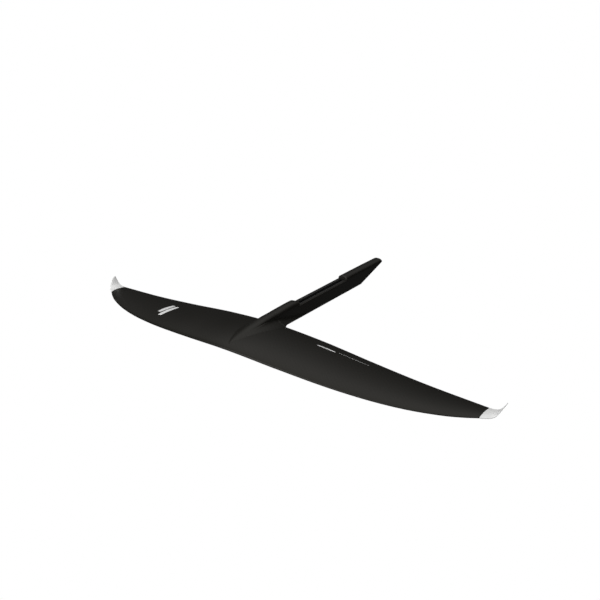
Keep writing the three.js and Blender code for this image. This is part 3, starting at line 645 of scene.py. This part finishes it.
def mark_rings(first, last, half_width):
    """A plain bar with blunt ends, which lies on the wing between two places."""
    start = Vector((*first, 0))
    end = Vector((*last, 0))
    across = Vector((0, 0, 1)).cross(end - start).normalized()
    rings = []
    for turn in steps(-math.pi / 2, math.pi / 2, count=25):
        middle = start.lerp(end, (math.sin(turn) + 1) / 2)
        width_share = max(math.cos(turn), MARK_END) ** MARK_END_POWER
        rings.append(mark_ring(middle, across, half_width * width_share))
    return rings


# ---------------------------------------------------------------------------------------------------
# Materials
# ---------------------------------------------------------------------------------------------------
class Nodes:
    """A material's node tree, with short calls for the nodes that it is made of."""

    def __init__(self, name):
        self.material = bpy.data.materials.new(name)
        self.material.use_nodes = True
        self.tree = self.material.node_tree
        self.shader = self.tree.nodes["Principled BSDF"]
        self.place = self.add("ShaderNodeTexCoord").outputs["Object"]

    def add(self, kind, **values):
        node = self.tree.nodes.new(kind)
        for key, value in values.items():
            setattr(node, key, value)
        return node

    def link(self, source, socket):
        """Gives a socket its value: another node's output, or a plain number or colour."""
        if isinstance(source, bpy.types.NodeSocket):
            self.tree.links.new(source, socket)
        else:
            socket.default_value = source

    def shade(self, name, source):
        self.link(source, self.shader.inputs[name])

    def math(self, operation, first, second=0.0):
        node = self.add("ShaderNodeMath", operation=operation)
        self.link(first, node.inputs[0])
        self.link(second, node.inputs[1])
        return node.outputs[0]

    def noise(self, scale, detail, stretch=(1, 1, 1)):
        mapping = self.add("ShaderNodeMapping")
        mapping.inputs["Scale"].default_value = stretch
        self.link(self.place, mapping.inputs["Vector"])
        node = self.add("ShaderNodeTexNoise")
        self.link(mapping.outputs[0], node.inputs["Vector"])
        node.inputs["Scale"].default_value = scale
        node.inputs["Detail"].default_value = detail
        return node.outputs["Fac"]

    def spread(self, value, low, high):
        """Turns a value from 0 to 1 into one from low to high."""
        node = self.add("ShaderNodeMapRange")
        self.link(value, node.inputs["Value"])
        node.inputs["To Min"].default_value = low
        node.inputs["To Max"].default_value = high
        return node.outputs["Result"]

    def mix(self, share, first, second):
        node = self.add("ShaderNodeMix", data_type="RGBA")
        self.link(share, node.inputs["Factor"])
        self.link((*first, 1), node.inputs["A"])
        self.link((*second, 1), node.inputs["B"])
        return node.outputs["Result"]

    def bump(self, height, strength, distance):
        node = self.add("ShaderNodeBump")
        node.inputs["Strength"].default_value = strength
        node.inputs["Distance"].default_value = distance
        self.link(height, node.inputs["Height"])
        self.link(node.outputs[0], self.shader.inputs["Normal"])

    def twill(self, tow):
        """Where the tows that run along the stub lie on top, and how high the weave stands, from 0 to 1."""
        split = self.add("ShaderNodeSeparateXYZ")
        self.link(self.place, split.inputs[0])
        across = self.math("ADD", split.outputs["X"], split.outputs["Z"])
        columns = self.math("DIVIDE", across, tow)
        rows = self.math("DIVIDE", split.outputs["Y"], tow)
        index = self.math("ADD", self.math("FLOOR", columns), self.math("FLOOR", rows))
        over = self.math("LESS_THAN", self.math("FLOORED_MODULO", index, 4), 2)
        round_columns = self.math("ABSOLUTE", self.math("SINE", self.math("MULTIPLY", columns, math.pi)))
        round_rows = self.math("ABSOLUTE", self.math("SINE", self.math("MULTIPLY", rows, math.pi)))
        first = self.math("MULTIPLY", over, round_columns)
        second = self.math("MULTIPLY", self.math("SUBTRACT", 1.0, over), round_rows)
        return over, self.math("ADD", first, second)


def carbon_satin():
    """The outside: a faint twill under satin lacquer, a little cloudy in colour and gloss."""
    nodes = Nodes("carbon_satin")
    over, height = nodes.twill(tow=0.0022)
    cloud = nodes.noise(scale=9, detail=4)
    share = nodes.math("ADD", nodes.math("MULTIPLY", over, 0.35), nodes.math("MULTIPLY", cloud, 0.65))
    nodes.shade("Base Color", nodes.mix(share, (0.0065, 0.0060, 0.0049), (0.0091, 0.0085, 0.0071)))
    fine = nodes.noise(scale=260, detail=2)
    rough = nodes.math("ADD", nodes.spread(cloud, 0.40, 0.48), nodes.spread(fine, -0.03, 0.03))
    nodes.shade("Roughness", rough)
    nodes.shade("Specular IOR Level", 0.24)
    nodes.shade("Specular Tint", (1, 0.97, 0.90, 1))
    height = nodes.math("ADD", height, nodes.math("MULTIPLY", fine, 0.6))
    nodes.bump(height, strength=0.06, distance=0.00002)
    return nodes.material


def carbon_structure():
    """The inner pieces: a finer twill, with streaks of resin along the stub."""
    nodes = Nodes("carbon_structure")
    over, height = nodes.twill(tow=0.0016)
    streak = nodes.noise(scale=60, detail=3, stretch=(1, 0.05, 1))
    share = nodes.math("ADD", nodes.math("MULTIPLY", over, 0.5), nodes.math("MULTIPLY", streak, 0.5))
    nodes.shade("Base Color", nodes.mix(share, (0.010, 0.010, 0.0098), (0.018, 0.018, 0.0176)))
    nodes.shade("Roughness", nodes.spread(streak, 0.42, 0.58))
    nodes.bump(nodes.math("ADD", height, streak), strength=0.2, distance=0.00005)
    return nodes.material


def white_paint():
    nodes = Nodes("white_paint")
    cloud = nodes.noise(scale=30, detail=3)
    nodes.shade("Base Color", nodes.mix(cloud, (0.74, 0.74, 0.73), (0.80, 0.80, 0.795)))
    peel = nodes.noise(scale=700, detail=2)
    nodes.shade("Roughness", nodes.spread(cloud, 0.34, 0.44))
    nodes.bump(peel, strength=0.1, distance=0.00003)
    return nodes.material


def foam():
    nodes = Nodes("core_foam")
    cells = nodes.add("ShaderNodeTexVoronoi")
    nodes.link(nodes.place, cells.inputs["Vector"])
    nodes.link(1400, cells.inputs["Scale"])
    distance = cells.outputs["Distance"]
    nodes.shade("Base Color", nodes.mix(distance, (0.42, 0.32, 0.17), (0.64, 0.52, 0.31)))
    nodes.shade("Roughness", 0.95)
    nodes.bump(distance, strength=0.6, distance=0.0004)
    return nodes.material


def stainless_steel():
    nodes = Nodes("stainless_steel")
    brushed = nodes.noise(scale=900, detail=3, stretch=(1, 1, 0.04))
    nodes.shade("Base Color", nodes.mix(brushed, (0.46, 0.46, 0.45), (0.62, 0.62, 0.61)))
    nodes.shade("Metallic", 1)
    nodes.shade("Roughness", nodes.spread(brushed, 0.22, 0.36))
    nodes.bump(brushed, strength=0.1, distance=0.00002)
    return nodes.material


def white_backdrop():
    """White by its own light, whatever falls on it."""
    nodes = Nodes("white_backdrop")
    nodes.shade("Base Color", (0, 0, 0, 1))
    nodes.shade("Roughness", 1)
    nodes.shade("Specular IOR Level", 0)
    nodes.shade("Emission Color", (1, 1, 1, 1))
    nodes.shade("Emission Strength", 1)
    return nodes.material


MATERIALS = {
    "carbon_satin": carbon_satin(),
    "carbon_structure": carbon_structure(),
    "white_paint": white_paint(),
    "foam": foam(),
    "stainless_steel": stainless_steel(),
}

# ---------------------------------------------------------------------------------------------------
# The object
# ---------------------------------------------------------------------------------------------------
for entry in frame["record"]["subparts"]:
    node = frame["nodes"][entry["node"]]
    node.data.materials.clear()
    node.data.materials.append(MATERIALS[entry["material_slot"]])


def add_piece(name, slot, rings, cuts=()):
    """A piece through the rings, less its cuts, with its slot's material, riding on the only body."""
    piece = piece_from(name, loft_mesh(name, rings), MATERIALS[slot])
    for cut_name, cut_rings in cuts:
        cut_away(piece, cut_name, cut_rings)
    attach(piece, "root")
    return piece


panel = [skin_ring(share, 1) for share in PANEL_SHARES]
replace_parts(add_piece("wing_top_surface", "carbon_satin", both_sides(panel)), "wing_top_skin")

lower = [skin_ring(share, -1) for share in PANEL_SHARES + WINGLET_SHARES]
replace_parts(add_piece("wing_bottom_surface", "carbon_satin", both_sides(lower)), "wing_bottom_skin")

cap = [skin_ring(share, 1) for share in [CAP_START] + WINGLET_SHARES]
for side, rings in (("right", cap), ("left", [mirror(ring) for ring in cap])):
    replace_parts(add_piece(f"winglet_paint_{side}", "white_paint", rings), f"winglet_cap_{side}")

cuts = [("stub_room", stub_cavity_rings()), ("nose_room", nose_cavity_rings())]
for number, y in enumerate(BOLT_Y, 1):
    hole = cylinder_rings(BOLT_HOLE_R, BOTTOM_Z - OVERRUN, CHANNEL_FLOOR_Z + OVERRUN, y)
    head_hole = cylinder_rings(BOLT_HEAD_HOLE_R, BOTTOM_Z - OVERRUN, BOTTOM_Z + BOTTOM_WALL, y)
    cuts += [(f"bolt_hole_{number}", hole), (f"bolt_head_{number}", head_hole)]
fuselage = add_piece("fuselage_surface", "carbon_satin", fuselage_rings(), cuts)
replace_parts(fuselage, "nose_fairing", "fuselage_shell_right", "fuselage_shell_left")

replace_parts(add_piece("keel_surface", "carbon_satin", keel_rings()), "keel_fairing")

for name, first, last, half_width in MARKS:
    add_piece(name, "white_paint", mark_rings(first, last, half_width))

# ---------------------------------------------------------------------------------------------------
# Floor and backdrop
# ---------------------------------------------------------------------------------------------------
FLOOR_SIZE = 60                  # from here on in metres
FLOOR_GAP = 0.001
BACKDROP_RADIUS = 40
BACKDROP = white_backdrop()


def stage_piece(name):
    """Makes the newest object a piece of the studio, plain white to look at and no part of the lighting."""
    piece = bpy.context.object
    piece.name = name
    piece.data.materials.append(BACKDROP)
    piece.visible_diffuse = False
    piece.visible_glossy = False
    piece.visible_shadow = False


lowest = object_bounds()[0]
bpy.ops.mesh.primitive_plane_add(size=FLOOR_SIZE, location=(0, 0, lowest.z - FLOOR_GAP))
stage_piece("floor")
bpy.ops.mesh.primitive_uv_sphere_add(radius=BACKDROP_RADIUS, segments=48, ring_count=24, location=(0, 0, 0))
stage_piece("backdrop")

# ---------------------------------------------------------------------------------------------------
# Light
# ---------------------------------------------------------------------------------------------------
# How bright the studio is at each height, from straight down (-1) to straight up (1).
STUDIO_HEIGHTS = [(-1, 0.28), (0, 0.01), (0.3, 0.02), (0.55, 0.16), (0.8, 1.3), (1, 1.3)]
BRIGHTEST = 1.3


def area_light(name, position, size, power):
    """A soft light that faces the object."""
    data = bpy.data.lights.new(name, "AREA")
    data.shape = "RECTANGLE"
    data.size, data.size_y = size
    data.energy = power
    light = bpy.data.objects.new(name, data)
    light.location = position
    light.rotation_euler = (-Vector(position)).to_track_quat("-Z", "Y").to_euler()
    bpy.context.scene.collection.objects.link(light)


def studio_world():
    """Light from all round, whose brightness changes with its height alone."""
    world = bpy.data.worlds.new("studio")
    bpy.context.scene.world = world
    world.use_nodes = True
    tree = world.node_tree
    background = tree.nodes["Background"]
    coordinate = tree.nodes.new("ShaderNodeTexCoord")
    split = tree.nodes.new("ShaderNodeSeparateXYZ")
    height = tree.nodes.new("ShaderNodeMapRange")
    gradient = tree.nodes.new("ShaderNodeValToRGB")
    tree.links.new(coordinate.outputs["Generated"], split.inputs[0])
    tree.links.new(split.outputs["Z"], height.inputs["Value"])
    height.inputs["From Min"].default_value = -1
    tree.links.new(height.outputs["Result"], gradient.inputs["Fac"])
    while len(gradient.color_ramp.elements) < len(STUDIO_HEIGHTS):
        gradient.color_ramp.elements.new(0.5)
    for element, (z, level) in zip(gradient.color_ramp.elements, STUDIO_HEIGHTS):
        grey = level / BRIGHTEST
        element.position = (z + 1) / 2
        element.color = (grey, grey, grey, 1)
    tree.links.new(gradient.outputs["Color"], background.inputs["Color"])
    background.inputs["Strength"].default_value = BRIGHTEST


area_light("front_softbox", position=(-0.4, -2.4, 0.5), size=(2.4, 1.2), power=45)
studio_world()
bpy.context.scene.view_settings.view_transform = "Standard"

# ---------------------------------------------------------------------------------------------------
# Camera
# ---------------------------------------------------------------------------------------------------
CAMERA_FROM_EDGE = Vector((0.8347, -1.0324, 0.6109))     # from the trailing edge on the centre plane
CAMERA_AZIMUTH = math.radians(36.64)
CAMERA_ELEVATION = math.radians(22.97)
CAMERA_LENS = 44.61              # millimetres, as the sensor's width is
CAMERA_SENSOR = 36
CAMERA_REACH = 100               # how far the camera sees

camera_data = bpy.data.cameras.new("camera")
camera_data.sensor_width = CAMERA_SENSOR
camera_data.lens = CAMERA_LENS
camera_data.clip_end = CAMERA_REACH
camera = bpy.data.objects.new("camera", camera_data)
camera.location = DRAWN_FROM + CAMERA_FROM_EDGE
camera.rotation_euler = Euler((math.pi / 2 - CAMERA_ELEVATION, 0, CAMERA_AZIMUTH))
bpy.context.scene.collection.objects.link(camera)
bpy.context.scene.camera = camera
